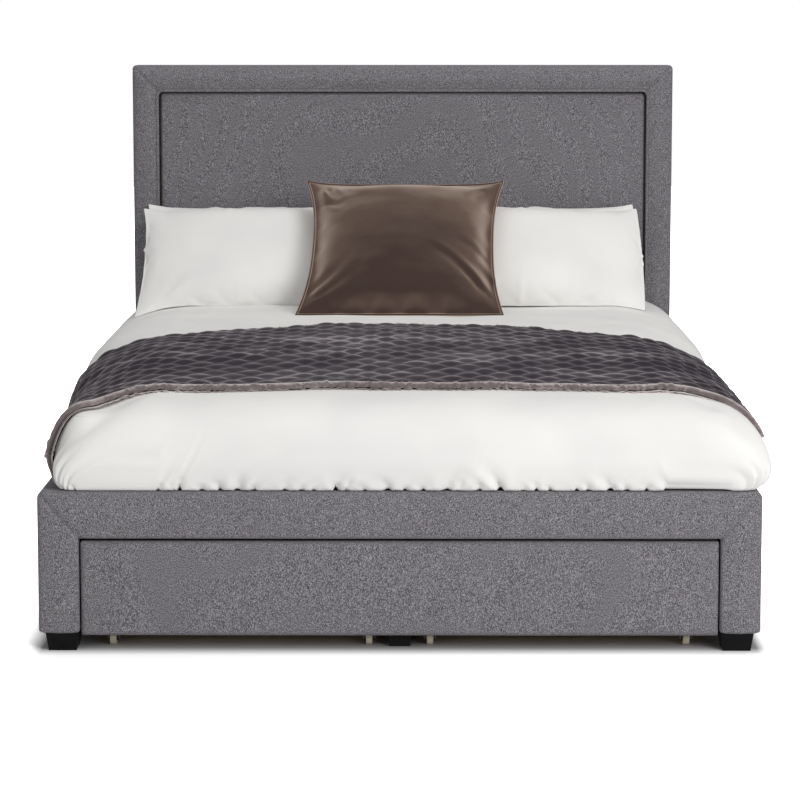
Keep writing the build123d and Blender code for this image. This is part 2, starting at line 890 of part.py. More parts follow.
with BuildPart() as throw:
    throw_y = foot_front + throw_foot
    add(make_bedding_form(soft_gap + throw_thick).part)
    add(make_bedding_form(soft_gap).part, mode=Mode.SUBTRACT)
    add(
        spans(
            (-bed_width, bed_width), (throw_y, throw_y + throw_length), (rail_top + soft_gap, head_height)
        ).part,
        mode=Mode.INTERSECT,
    )
    add(
        spans((0, bed_width), (throw_y, throw_y + throw_length), (0, throw_right_hem)).part,
        mode=Mode.SUBTRACT,
    )
save(throw, "throw")


def make_pillow(x, width, low, high, front_bulge, back_bulge):
    """A plump pillow that leans back: a lens between its low and high seams, seen from the side."""
    chord = Vector(high[0] - low[0], high[1] - low[1])
    back = Vector(chord.Y, -chord.X).normalized()
    middle = Vector((low[0] + high[0]) / 2, (low[1] + high[1]) / 2)
    front_point = middle - back * front_bulge
    back_point = middle + back * back_bulge
    with BuildPart() as pillow:
        with BuildSketch(Plane.YZ.offset(x - width / 2)):
            with BuildLine():
                ThreePointArc(low, (front_point.X, front_point.Y), high)
                ThreePointArc(high, (back_point.X, back_point.Y), low)
            make_face()
        extrude(amount=width)
    return pillow


bed_surface = duvet_top + soft_gap
front_seams = (
    (head_front - front_pillow_foot, bed_surface),
    (head_front - front_pillow_lean, duvet_top + front_pillow_rise),
)
back_seams = (
    (head_front - back_pillow_foot, bed_surface),
    (head_front - back_pillow_lean, duvet_top + back_pillow_rise),
)
cushion_seams = (
    (head_front - cushion_foot, bed_surface),
    (head_front - cushion_lean, duvet_top + cushion_rise),
)
pillow_step = (pillow_width + pillow_gap) / 2
for side, x in (("left", pillow_shift - pillow_step), ("right", pillow_shift + pillow_step)):
    front_pillow = make_pillow(x, pillow_width, *front_seams, front_pillow_front, front_pillow_back)
    back_pillow = make_pillow(x, pillow_width, *back_seams, back_pillow_front, back_pillow_back)
    save(front_pillow, f"pillow_front_{side}")
    save(back_pillow, f"pillow_back_{side}")
save(make_pillow(0, cushion_width, *cushion_seams, cushion_front, cushion_back), "cushion")
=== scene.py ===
import json
import random
from math import copysign, cos, dist, exp, hypot, pi, radians, sin, sqrt

import bmesh
import bpy
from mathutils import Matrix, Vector
from mathutils.noise import noise


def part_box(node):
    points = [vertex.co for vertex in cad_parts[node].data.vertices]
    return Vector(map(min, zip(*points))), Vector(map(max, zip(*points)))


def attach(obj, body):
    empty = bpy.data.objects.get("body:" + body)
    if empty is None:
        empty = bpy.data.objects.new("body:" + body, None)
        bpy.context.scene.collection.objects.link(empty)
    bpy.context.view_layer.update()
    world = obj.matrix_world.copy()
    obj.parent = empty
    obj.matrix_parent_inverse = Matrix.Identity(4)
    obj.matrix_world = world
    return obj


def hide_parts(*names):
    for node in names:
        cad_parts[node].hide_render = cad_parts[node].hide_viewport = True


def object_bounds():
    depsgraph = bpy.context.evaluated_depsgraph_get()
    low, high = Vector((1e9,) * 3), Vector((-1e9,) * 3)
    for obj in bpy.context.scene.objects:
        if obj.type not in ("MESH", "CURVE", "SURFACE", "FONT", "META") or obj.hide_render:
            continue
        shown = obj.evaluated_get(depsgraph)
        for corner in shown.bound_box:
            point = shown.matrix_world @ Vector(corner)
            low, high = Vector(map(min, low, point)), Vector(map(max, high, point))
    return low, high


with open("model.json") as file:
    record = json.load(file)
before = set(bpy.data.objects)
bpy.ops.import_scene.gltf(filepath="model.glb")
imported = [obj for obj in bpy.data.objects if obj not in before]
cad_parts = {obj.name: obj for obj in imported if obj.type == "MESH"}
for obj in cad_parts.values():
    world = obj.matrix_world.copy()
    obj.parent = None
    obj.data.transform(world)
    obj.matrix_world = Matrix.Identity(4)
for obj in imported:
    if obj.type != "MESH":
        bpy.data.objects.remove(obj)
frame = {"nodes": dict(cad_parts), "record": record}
cad_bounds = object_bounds()

# ---- sizes from the frame, in metres
FOOT = cad_bounds[0].y
DUVET_LOW, DUVET_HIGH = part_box("duvet")
THROW_LOW, THROW_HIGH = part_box("throw")
MATTRESS_LOW, MATTRESS_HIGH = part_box("mattress")
RAIL_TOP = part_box("foot_cover_top")[1].z
# The seam round the headboard's panel lies this far outside the one between the CAD solids.
SEAM_SHIFT = 0.009


def mix(first, second, share):
    return first + (second - first) * share


def smooth(value):
    """0 to 1, easing at both ends."""
    value = min(max(value, 0.0), 1.0)
    return value * value * (3 - 2 * value)


def steps(count):
    """Shares from 0 to 1, both included."""
    return [number / count for number in range(count + 1)]


def quarter_turn(count):
    """(1 - cosine, 1 - sine) pairs over a quarter turn."""
    turns = [share * pi / 2 for share in steps(count)]
    return [(1 - cos(turn), 1 - sin(turn)) for turn in turns]


def spline(points, count):
    """Points evenly spaced along a smooth curve through these points."""
    per_span = 24
    ends = [2 * points[0] - points[1], *points, 2 * points[-1] - points[-2]]
    dense = []
    for before, start, end, after in zip(ends, ends[1:], ends[2:], ends[3:]):
        for share in steps(per_span)[:-1]:
            pull = (end - before) * share + (2 * before - 5 * start + 4 * end - after) * share**2
            pull += (3 * start - before - 3 * end + after) * share**3
            dense.append(start + pull / 2)
    dense.append(points[-1])
    return evenly(dense, count)


def evenly(points, count):
    """The same polyline with this many equal steps."""
    lengths = [0.0]
    for start, end in zip(points, points[1:]):
        lengths.append(lengths[-1] + (end - start).length)
    even, index = [], 0
    for share in steps(count):
        target = share * lengths[-1]
        while index < len(points) - 2 and lengths[index + 1] < target:
            index += 1
        span = lengths[index + 1] - lengths[index]
        even.append(points[index].lerp(points[index + 1], (target - lengths[index]) / span))
    return even


def value_at(line, place):
    """The value at this place on a line of (place, value) pairs in order."""
    for (start, first), (end, last) in zip(line, line[1:]):
        if place <= end:
            return mix(first, last, max(place - start, 0) / max(end - start, 1e-6))
    return line[-1][1]


def grid_faces(rows, columns, closed=False):
    """Quads over rows of points, closed round each row if asked."""
    across = columns if closed else columns - 1
    return [
        (row * columns + column, row * columns + (column + 1) % columns,
         (row + 1) * columns + (column + 1) % columns, (row + 1) * columns + column)
        for row in range(rows - 1)
        for column in range(across)
    ]


def tube_faces(rings, sides):
    """Quads round a tube, with a cap on each end."""
    last = (rings - 1) * sides
    return [*grid_faces(rings, sides, closed=True), tuple(range(sides)), tuple(range(last, last + sides))]


def grid_rim(rows, columns):
    """The numbers of the points round the rim of a grid, in order."""
    rim = [*range(columns), *range(2 * columns - 1, columns * rows, columns)]
    rim += [*range(columns * rows - 2, columns * (rows - 1) - 1, -1)]
    return rim + [*range(columns * (rows - 2), 0, -columns)]


def add_object(name, data):
    """A new object in the scene."""
    thing = bpy.data.objects.new(name, data)
    bpy.context.scene.collection.objects.link(thing)
    return thing


def adjust(thing, **settings):
    for setting, value in settings.items():
        setattr(thing, setting, value)


def add_node(tree, kind, inputs=None, **settings):
    """A shader node with its settings, and its inputs set to values or linked."""
    node = tree.nodes.new("ShaderNode" + kind)
    adjust(node, **settings)
    for socket, value in (inputs or {}).items():
        if isinstance(value, bpy.types.NodeSocket):
            tree.links.new(value, node.inputs[socket])
        else:
            node.inputs[socket].default_value = value
    return node


# ---- materials
def srgb(red, green, blue):
    """A shader colour from 0 to 255 values."""
    shares = [value / 255 for value in (red, green, blue)]
    return (*[x / 12.92 if x <= 0.04045 else ((x + 0.055) / 1.055) ** 2.4 for x in shares], 1)


FINISHES = {}


class Surface:
    """A Principled material, kept by its name, and the texture nodes that feed it in object coordinates."""

    def __init__(self, name, roughness, **constants):
        self.material = bpy.data.materials.new(name)
        FINISHES[name] = self.material
        self.material.use_nodes = True
        self.tree = self.material.node_tree
        self.shader = self.tree.nodes["Principled BSDF"]
        self.shader.inputs["Roughness"].default_value = roughness
        for socket, value in constants.items():
            self.shader.inputs[socket.replace("_", " ")].default_value = value
        self.place = self.node("TexCoord").outputs["Object"]

    def node(self, kind, inputs=None, **settings):
        return add_node(self.tree, kind, inputs, **settings)

    def stretched(self, x, y, z):
        return self.node("Mapping", {"Vector": self.place, "Scale": (x, y, z)}).outputs[0]

    def noise(self, scale, detail, roughness=0.5, place=None):
        values = {"Scale": scale, "Detail": detail, "Roughness": roughness}
        return self.node("TexNoise", {"Vector": place or self.place, **values}).outputs["Fac"]

    def ramp(self, amount, *stops):
        node = self.node("ValToRGB", {"Fac": amount})
        elements = node.color_ramp.elements
        while len(elements) < len(stops):
            elements.new(0.5)
        for element, (position, colour) in zip(elements, stops):
            element.position = position
            element.color = srgb(*colour)
        return node.outputs["Color"]

    def blend(self, amount, first, second):
        return self.node("Mix", {0: amount, 6: first, 7: second}, data_type="RGBA").outputs[2]

    def maths(self, operation, *values):
        return self.node("Math", dict(enumerate(values)), operation=operation).outputs[0]

    def colour(self, output):
        self.tree.links.new(output, self.shader.inputs["Base Color"])
        return self

    def rough(self, amount, low, high):
        spread = self.node("MapRange", {"Value": amount, "To Min": low, "To Max": high})
        self.tree.links.new(spread.outputs[0], self.shader.inputs["Roughness"])
        return self

    def bump(self, height, strength, distance):
        bump = self.node("Bump", {"Height": height, "Strength": strength, "Distance": distance})
        self.tree.links.new(bump.outputs[0], self.shader.inputs["Normal"])
        return self


def chenille():
    """Grey chenille: short upright slubs of mixed yarn with a soft pile."""
    cloth = Surface("grey_chenille", 0.95, Specular_IOR_Level=0.12, Sheen_Weight=0.1, Sheen_Roughness=0.5)
    slub = cloth.noise(820, 1, 0.6, cloth.stretched(1, 1, 0.45))
    yarn = cloth.noise(900, 1, 0.5, cloth.stretched(1, 1, 0.5))
    hue = cloth.noise(300, 0, 0.5, cloth.stretched(1, 1, 0.3))
    patch = cloth.noise(16, 3, 0.6, cloth.stretched(1, 1, 0.3))
    grey = cloth.ramp(slub, (0.38, (42, 39, 43)), (0.50, (109, 106, 111)), (0.62, (188, 185, 190)))
    tinted = cloth.ramp(hue, (0.34, (108, 114, 113)), (0.5, (118, 115, 120)), (0.66, (122, 112, 119)))
    grey = cloth.blend(0.3, grey, tinted)
    grey = cloth.blend(cloth.maths("MULTIPLY", patch, 0.3), grey, srgb(92, 89, 94))
    height = cloth.maths("ADD", slub, cloth.maths("MULTIPLY", yarn, 0.5))
    cloth.colour(grey).bump(height, 0.5, 0.0012)


def cotton():
    """Smooth white bed linen with a fine weave."""
    cloth = Surface("white_cotton", 0.8, Specular_IOR_Level=0.3, Sheen_Weight=0.1, Sheen_Roughness=0.4)
    weave = cloth.noise(1400, 1)
    crease = cloth.noise(16, 4, 0.55)
    white = cloth.ramp(cloth.noise(5, 2), (0.35, (231, 230, 228)), (0.65, (238, 237, 234)))
    height = cloth.maths("ADD", cloth.maths("MULTIPLY", weave, 0.06), crease)
    cloth.colour(white).bump(height, 0.16, 0.006)


def velvet(name, deep, middle, bright, patch_scale, patch_strength, painted_tilt_sheen, turns):
    """Velvet with its sheen painted into the base colour: dark where the pile points at the eye, a painted
    highlight where it is seen from its side.

    The colours sit at these turns away from the eye. The painted sheen is also brighter where the cloth faces
    less up.
    """
    cloth = Surface(name, 0.8, Specular_IOR_Level=0.15, Sheen_Weight=0.12, Sheen_Roughness=0.3)
    facing = cloth.node("LayerWeight", {"Blend": 0.5}).outputs["Facing"]
    # Painted sheen: the colour is made brighter where the cloth faces less up, evening out the shade the
    # lamps give it.
    upward = cloth.node("SeparateXYZ", {0: cloth.node("NewGeometry").outputs["Normal"]}).outputs[2]
    facing = cloth.maths("MULTIPLY_ADD", cloth.maths("SUBTRACT", 1.0, upward), painted_tilt_sheen, facing)
    # Random brushed patches shift where the painted sheen falls.
    streaks = cloth.stretched(0.5, 1.3, 1)
    broad_scale, broad_strength = patch_scale / 7, patch_strength * 1.6
    for scale, strength in ((patch_scale, patch_strength), (broad_scale, broad_strength)):
        brushed = cloth.maths("SUBTRACT", cloth.noise(scale, 3, 0.55, streaks), 0.5)
        facing = cloth.maths("MULTIPLY_ADD", brushed, strength, facing)
    pile = cloth.noise(1100, 1, 0.6)
    # The base colour is painted sheen: deep where the cloth faces the eye, a painted highlight where it is
    # seen at a slant.
    painted_sheen = cloth.ramp(facing, *zip(turns, (deep, middle, bright)))
    painted_sheen = cloth.blend(cloth.maths("MULTIPLY", pile, 0.22), painted_sheen, srgb(*deep))
    cloth.colour(painted_sheen).bump(pile, 0.25, 0.0006)


def wood(name, pale, dark, along, rings):
    """Planed timber with its grain along one axis."""
    solid = Surface(name, 0.6, Specular_IOR_Level=0.35)
    squeeze = [0.06 if axis == along else 1.0 for axis in "xyz"]
    grain = solid.noise(rings, 4, 0.6, solid.stretched(*squeeze))
    fibre = solid.noise(rings * 9, 2, 0.5, solid.stretched(*squeeze))
    tone = solid.ramp(grain, (0.35, pale), (0.5, dark), (0.6, pale))
    tone = solid.blend(solid.maths("MULTIPLY", fibre, 0.35), tone, srgb(*dark))
    solid.colour(tone).rough(fibre, 0.5, 0.75).bump(fibre, 0.25, 0.0006)


def moulded(name, tone, shade, roughness, scale, **constants):
    """A plain rigid finish with a little mottling and an uneven gloss."""
    solid = Surface(name, roughness, **constants)
    mottle = solid.noise(scale, 3)
    fine = solid.noise(scale * 14, 2)
    tint = solid.ramp(mottle, (0.35, tone), (0.65, shade))
    solid.rough(mottle, roughness - 0.08, roughness + 0.08)
    solid.colour(tint).bump(fine, 0.12, 0.0004)


def woven(name, tone, shade, scale, bump):
    """A plain knitted or non-woven cloth."""
    cloth = Surface(name, 0.92, Specular_IOR_Level=0.15)
    thread = cloth.noise(scale, 2, 0.6)
    tint = cloth.ramp(thread, (0.35, shade), (0.65, tone))
    cloth.colour(tint).bump(thread, bump, 0.001)


chenille()
cotton()
# Each velvet paints its sheen into its base colour: deep facing the eye, bright at a slant.
velvet(
    "quilted_velvet", (40, 34, 41), (77, 71, 76), (152, 145, 148),
    patch_scale=46, patch_strength=0.50, painted_tilt_sheen=0.0, turns=(0.52, 0.82, 1.0),
)
velvet(
    "velvet_binding", (112, 102, 103), (172, 162, 160), (226, 219, 216),
    patch_scale=130, patch_strength=0.55, painted_tilt_sheen=0.0, turns=(0.1, 0.5, 0.9),
)
velvet(
    "brown_velvet", (64, 50, 45), (102, 85, 75), (190, 172, 158),
    patch_scale=14, patch_strength=0.15, painted_tilt_sheen=0.42, turns=(0.32, 0.50, 0.80),
)
wood("plywood", (208, 184, 149), (192, 163, 126), along="x", rings=22)
wood("pine", (214, 184, 141), (181, 140, 92), along="y", rings=26)
wood("birch_slat", (219, 193, 153), (196, 162, 116), along="x", rings=34)
woven("dust_cover", (46, 46, 47), (26, 26, 27), scale=700, bump=0.3)
woven("mattress_ticking", (232, 230, 226), (214, 212, 208), scale=320, bump=0.4)
moulded("black_lacquer", (12, 12, 14), (20, 19, 21), roughness=0.5, scale=30, Specular_IOR_Level=0.12)
moulded("black_plastic", (30, 30, 31), (40, 40, 41), roughness=0.55, scale=60)
moulded("black_steel", (34, 34, 35), (44, 44, 45), roughness=0.45, scale=80, Metallic=0.3)
moulded("zinc_steel", (190, 190, 188), (165, 166, 168), roughness=0.32, scale=60, Metallic=1.0)
moulded("cream_nylon", (206, 196, 176), (190, 179, 158), roughness=0.42, scale=90)

for part in frame["record"]["subparts"]:
    for holder in frame["nodes"][part["node"]].material_slots:
        holder.material = FINISHES[part["material_slot"]]


def build(name, points, faces, finish, replaced=(), body="bed"):
    """A smooth mesh piece that rides on a body and takes its finish from one slot."""
    mesh = bpy.data.meshes.new(name)
    mesh.from_pydata([tuple(point) for point in points], [], faces)
    welded = bmesh.new()
    welded.from_mesh(mesh)
    bmesh.ops.remove_doubles(welded, verts=welded.verts, dist=1e-5)
    bmesh.ops.recalc_face_normals(welded, faces=welded.faces)
    welded.to_mesh(mesh)
    welded.free()
    mesh.materials.append(FINISHES[finish])
    mesh.polygons.foreach_set("use_smooth", [True] * len(mesh.polygons))
    piece = add_object(name, mesh)
    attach(piece, body)
    if replaced:
        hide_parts(*replaced)
    return piece


# ---- upholstered frame
class Hoop:
    """An upside-down U seen from the foot. A fraction runs from its outer edge, 0, to its inner edge, 1."""

    straight_steps, bend_steps = 90, 8

    def __init__(self, half, top, low, side_width, top_width, outer_bend, inner_bend):
        self.half, self.top, self.low = half, top, low
        self.side_width, self.top_width = side_width, top_width
        self.outer_bend, self.inner_bend = outer_bend, inner_bend

    def line(self, fraction, part):
        """(x, z) points up the left leg, or across the top, between the middles of the corners."""
        edge = self.half - self.side_width * fraction
        top = self.top - self.top_width * fraction
        bend = mix(self.outer_bend, self.inner_bend, fraction)

        def corner(share):
            turn = share * pi / 2
            return -edge + bend * (1 - cos(turn)), top + bend * (sin(turn) - 1)

        if part == "top":
            left = [corner(0.5 + share / 2) for share in steps(self.bend_steps)]
            across = steps(self.straight_steps)[1:-1]
            middle = [(mix(-1, 1, share) * (edge - bend), top) for share in across]
            return left + middle + [(-x, z) for x, z in reversed(left)]
        leg = [(-edge, mix(self.low, top - bend, share)) for share in steps(self.straight_steps)[:-1]]
        return leg + [corner(share / 2) for share in steps(self.bend_steps)]


def roll_section(width, front, outer_back, outer_edge, inner_edge, crown, inner_back):
    """(fraction, y) round a padded roll, from its outer back corner over its face to its inner side."""
    shoulder = front + crown
    outside = [(outer_edge * out, shoulder + outer_edge * back) for out, back in quarter_turn(7)]
    face = [
        (mix(outer_edge, width - inner_edge, share), shoulder - crown * sin(pi * share))
        for share in steps(10)[1:-1]
    ]
    inside = [(width - inner_edge * out, shoulder + inner_edge * back) for back, out in quarter_turn(7)]
    points = [(0, outer_back), *outside, *face, *inside, (width, inner_back)]
    return [(across / width, y) for across, y in points]


def sew_roll(node, part, hoop, section):
    """One mitred length of a padded roll. It dips at its mitre seams and puckers a little along its face."""
    seam_depth, seam_reach, pucker, bottom_round = 0.0035, 0.006, 0.0007, 0.008
    flip = -1 if part == "right" else 1
    lines = [hoop.line(fraction, part) for fraction, _ in section]
    count = len(lines[0])
    middle = hoop.half - hoop.side_width / 2
    deep = (min(y for _, y in section) + section[0][1]) / 2
    points = []
    for index in range(count):
        for (_, y), line in zip(section, lines):
            x, z = line[index]
            ends = [line[-1]] if part != "top" else [line[0], line[-1]]
            near = min(dist((x, z), end) for end in ends)
            y += seam_depth * exp(-((near / seam_reach) ** 2))
            y += pucker * noise((x * 14, y * 20, z * 9))
            if part != "top":
                under = max(bottom_round - (z - hoop.low), 0)
                tuck = bottom_round - sqrt(bottom_round**2 - under**2)
                x += tuck * (1 if x < -middle else -1)
                y += tuck * (1 if y < deep else 0)
            points.append((x * flip, y, z))
    faces = tube_faces(count, len(section))
    build(node + "_upholstery", points, faces, "grey_chenille", [node])


def upholster_hoop(prefix, seam_shift, outer_bend, inner_bend, outer_edge, inner_edge, crown, inner_back):
    """Left, right and top lengths of a padded roll, in the places of their CAD solids."""
    left_low, left_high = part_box(prefix + "_left")
    top_low, top_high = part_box(prefix + "_top")
    width = left_high.x - left_low.x - seam_shift
    top_width = top_high.z - top_low.z - seam_shift
    hoop = Hoop(-left_low.x, top_high.z, left_low.z, width, top_width, outer_bend, inner_bend)
    section = roll_section(width, left_low.y, left_high.y, outer_edge, inner_edge, crown, inner_back)
    for part in ("left", "right", "top"):
        sew_roll(f"{prefix}_{part}", part, hoop, section)


def headboard_border():
    upholster_hoop(
        "headboard_border", SEAM_SHIFT, outer_bend=0.012, inner_bend=0.02, outer_edge=0.024,
        inner_edge=0.014, crown=0.004, inner_back=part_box("headboard_board")[0].y,
    )


def foot_end():
    upholster_hoop(
        "foot_cover", 0, outer_bend=0.016, inner_bend=0.002, outer_edge=0.013,
        inner_edge=0.009, crown=0.003, inner_back=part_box("foot_cover_left")[1].y,
    )


def spaced(low, high, edge, pitch):
    """Positions from low to high, closer together over the rolled edges."""
    near = [edge * out for out, _ in quarter_turn(7)[:-1]]
    inner = steps(round((high - low - 2 * edge) / pitch))
    return [
        *[low + x for x in near],
        *[mix(low + edge, high - edge, share) for share in inner],
        *[high - x for x in reversed(near)],
    ]


def padded_face(name, node, low, high, roll, depth, crown, corner, body="bed"):
    """A padded panel that faces the foot, with rounded corners, rolled edges and a crown."""
    pitch, side_share, unevenness = 0.012, 0.8, 0.0012
    half, rise = (high.x - low.x) / 2, (high.z - low.z) / 2
    centre = (low + high) / 2
    columns = spaced(-half, half, roll, pitch)
    rows = spaced(-rise, rise, roll, pitch)
    points = []
    for z in rows:
        for x in columns:
            past_x, past_z = abs(x) - half + corner, abs(z) - rise + corner
            inset = corner - max(past_x, past_z)
            if past_x > 0 and past_z > 0:
                reach = hypot(past_x, past_z)
                inset = max(corner - reach, 0)
                shrink = min(corner / reach, 1)
                x_on = copysign(half - corner + past_x * shrink, x)
                z_on = copysign(rise - corner + past_z * shrink, z)
            else:
                x_on, z_on = x, z
            short = max(1 - inset / roll, 0)
            y = low.y + depth * (1 - sqrt(1 - short * short))
            y += crown * mix((z / rise) ** 2, (x / half) ** 2, side_share)
            y += unevenness * noise((x * 5, 3.7, z * 5))
            points.append((centre.x + x_on, max(y, low.y), centre.z + z_on))
    faces = grid_faces(len(rows), len(columns))
    rim = grid_rim(len(rows), len(columns))
    start, count = len(points), len(rim)
    points += [(points[index][0], high.y, points[index][2]) for index in rim]
    for number, index in enumerate(rim):
        following = (number + 1) % count
        faces.append((index, rim[following], start + following, start + number))
    faces.append(tuple(range(start, start + count)))
    build(name, points, faces, "grey_chenille", [node], body=body)


def headboard_panel():
    low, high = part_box("headboard_panel")
    beside, above = Vector((SEAM_SHIFT, 0, 0)), Vector((0, 0, SEAM_SHIFT))
    padded_face(
        "headboard_panel_upholstery", "headboard_panel", low - beside, high + above + beside,
        roll=0.012, depth=0.030, crown=0.010, corner=0.014,
    )


def drawer_front():
    low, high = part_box("drawer_front_cover")
    padded_face(
        "drawer_front_upholstery", "drawer_front_cover", low, high,
        roll=0.012, depth=0.012, crown=0.002, corner=0.006, body="drawer",
    )


def sweep_tube(name, path, radius, finish, replaced=(), sides=10, closed=False):
    """A round cord along a path, such as piping. Where the path is closed, so is the cord."""
    count = len(path)
    points = []
    for index, point in enumerate(path):
        before = path[index - 1] if index or closed else point
        after = path[(index + 1) % count] if index < count - 1 or closed else point
        along = (after - before).normalized()
        side = along.cross(Vector((0, 1, 0)))
        side = side.normalized() if side.length > 0.2 else along.cross(Vector((0, 0, 1))).normalized()
        out = along.cross(side).normalized()
        for share in steps(sides)[:-1]:
            turn = share * 2 * pi
            points.append(point + (side * cos(turn) + out * sin(turn)) * radius)
    faces = tube_faces(count, sides)
    if closed:
        last = (count - 1) * sides
        faces = grid_faces(count, sides, closed=True)
        faces += [
            (last + side, last + (side + 1) % sides, (side + 1) % sides, side) for side in range(sides)
        ]
    build(name, points, faces, finish, replaced)


def headboard_piping():
    """The corded seam between the border and the centre panel."""
    low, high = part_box("headboard_piping")
    radius = (high.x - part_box("headboard_panel")[1].x) / 2
    bend = 0.016
    half, top = high.x - radius + SEAM_SHIFT, high.z - radius + SEAM_SHIFT
    y = low.y - radius * 0.4
    corner = [(-half + bend * out, top - bend * down) for out, down in quarter_turn(8)]
    leg = [(-half, mix(low.z, top - bend, share)) for share in steps(80)[:-1]]
    across = [(mix(-1, 1, share) * (half - bend), top) for share in steps(100)[1:-1]]
    left = leg + corner
    outline = left + across + [(-x, z) for x, z in reversed(left)]
    path = [Vector((x, y, z)) for x, z in outline]
    sweep_tube("headboard_piping_cord", path, radius, "grey_chenille", ["headboard_piping"])


# ---- made bed
# The middle of the bed is level this far inside the duvet's box.
RIGHT_INSET, LEFT_INSET, FOOT_INSET = 0.243, 0.298, 0.208
FLAT_RIGHT = DUVET_HIGH.x - RIGHT_INSET
FLAT_LEFT = DUVET_LOW.x + LEFT_INSET
FLAT_FOOT = DUVET_LOW.y + FOOT_INSET
CORNER_RUN = 0.16
TOP = DUVET_HIGH.z
HEM = RAIL_TOP + 0.0005


def fall(*profile):
    """How the duvet falls to its hem: a smooth curve through (distance outwards, height) pairs."""
    return spline([Vector(pair) for pair in profile], 90)


SIDE_FALL = fall(
    (0, TOP), (0.060, TOP - 0.008), (0.115, TOP - 0.024), (0.160, TOP - 0.044), (0.203, TOP - 0.079),
    (0.228, TOP - 0.122), (0.238, TOP - 0.168), (0.230, HEM + 0.034), (0.210, HEM + 0.010),
    (0.190, HEM), (0.150, HEM),
)
FOOT_FALL = fall(
    (0, TOP - 0.040), (0.100, TOP - 0.049), (0.165, TOP - 0.072), (0.206, TOP - 0.112),
    (0.226, TOP - 0.162), (0.229, TOP - 0.196), (0.224, HEM + 0.012), (0.214, HEM), (0.165, HEM),
)
FALL_LENGTH = sum((end - start).length for start, end in zip(SIDE_FALL, SIDE_FALL[1:]))
WIDEST = max(point.x for point in SIDE_FALL)


def bed_top(y):
    """Height of the made bed's middle: level at the pillows and lower towards the foot."""
    level, run, drop, bend = DUVET_LOW.y + 0.90, 0.85, 0.058, 1.74
    return TOP - drop * (max(level - y, 0) / run) ** bend


def flat_edge(side, y):
    """Where the level middle of the bed ends. The left side is tucked in, most of all at the foot."""
    left_spread, left_run = 0.08, 1.1
    right_tuck, tuck_run = 0.014, 0.3
    right_spread, spread_start, spread_run = 0.026, -0.1, 0.5
    past_foot = y - FLAT_FOOT
    if side < 0:
        return FLAT_LEFT - left_spread * smooth(past_foot / left_run)
    tucked = FLAT_RIGHT - right_tuck * smooth(past_foot / tuck_run)
    return tucked + right_spread * smooth((y - spread_start) / spread_run)


def fall_at(curve, level):
    """A point part of the way down a fall."""
    place = min(max(level, 0.0), 1.0) * (len(curve) - 1)
    index = min(int(place), len(curve) - 2)
    return curve[index].lerp(curve[index + 1], place - index)


def corner_turn(across, along):
    """0 on a side of the bed and a quarter turn on its foot, with the corner between them."""
    if along <= 0 or across <= 0:
        return pi / 2 if along > 0 else 0.0
    if along <= across:
        return pi / 4 * along / across
    return pi / 2 - pi / 4 * across / along


def over_mattress(x, y):
    """The least height of the bedding over the mattress and just past its rounded corners."""
    corner, brow, cover, drop = 0.05, 0.05, 0.008, 0.018
    past_side = abs(x) - MATTRESS_HIGH.x + corner
    past_foot = MATTRESS_LOW.y + corner - y
    inside = corner - max(past_side, past_foot)
    if past_side > 0 and past_foot > 0:
        inside = corner - hypot(past_side, past_foot)
    return MATTRESS_HIGH.z + cover - drop * (max(brow - inside, 0) / brow) ** 3


def bed_form(across, along, place):
    """The smooth made bed at a flat place (x, y), this far down its side fall and its foot fall."""
    square, round_hem, corner_dip, left_fullness, settle, hem_level = 0.12, 0.5, 0.012, 0.5, 0.006, 0.8
    x, y = place
    level = max(across, along)
    if level <= 0:
        return Vector((x, y, bed_top(y)))
    turn = corner_turn(across, along)
    power = mix(round_hem, square, smooth((level - 0.35) / 0.5))
    out, down = cos(turn) ** power, sin(turn) ** power
    side_fall, foot_fall = fall_at(SIDE_FALL, level), fall_at(FOOT_FALL, level)
    scale = (bed_top(max(y, FLAT_FOOT)) - HEM) / (TOP - HEM)
    side_z = HEM + (side_fall.y - HEM) * scale
    weight = smooth(turn / (pi / 2))
    height = mix(side_z, foot_fall.y, weight)
    dip = smooth(level / 0.35) * (1 - smooth((level - 0.5) / 0.4))
    height -= corner_dip * sin(2 * turn) ** 2 * dip
    reach = side_fall.x
    if x < 0:
        reach = mix(reach, WIDEST, left_fullness * smooth((level - 0.6) / 0.2))
    point = Vector((x + copysign(reach * out, x), y - foot_fall.x * down, height))
    if level < hem_level:
        least = over_mattress(point.x, point.y)
        point.z = (height + least + hypot(height - least, settle)) / 2
    return point


def bed_surface(across, along, place):
    """The made bed with the slow swells of its filling, and the way outwards there."""
    broad_swell, small_swell, hem_share = 0.008, 0.003, 0.2
    level = max(across, along)
    point = bed_form(across, along, place)
    outward = Vector((point.x - place[0], point.y - place[1], 0.05 + 0.3 * (1 - level))).normalized()
    swell = broad_swell * noise(point * 3.1)
    swell += small_swell * noise(point * 8 + Vector((9, 2, 4)))
    return point + outward * swell * mix(1, hem_share, level), outward


def bed_height(x, y):
    """Height of the made bed at this x, where it is level or falls to a side."""
    beyond = TOP - 0.15
    past = (x - flat_edge(x, y)) * copysign(1, x)
    if past <= 0:
        return TOP
    return next((point.y for point in SIDE_FALL if point.x >= past), beyond)


class Folds:
    """Creases at uneven places along an edge. Each is a sharp valley between two soft lips."""

    reach, spread, lip, lip_place, valley = 0.2, 1.6, 0.6, 1.9, 1.2

    def __init__(self, low, high, pitch, width, rise, depth, lean, seed):
        chance = random.Random(seed)
        self.folds = []
        place = low
        while place < high:
            self.folds.append((place, *[chance.uniform(*span) for span in (width, rise, depth, lean)]))
            place += chance.uniform(*pitch)

    def push(self, run, height):
        """How far out the cloth stands, at a distance along its edge and a height above its hem."""
        total = 0.0
        for place, width, rise, depth, lean in self.folds:
            if height > rise or abs(run - place) > self.reach:
                continue
            share = max(height, 0) / rise
            off = abs(run - place - lean * height) / (width * (1 + self.spread * share))
            shape = self.lip * exp(-((off - self.lip_place) ** 2)) - exp(-self.valley * off)
            total += depth * smooth(1 - share) * shape
        return total


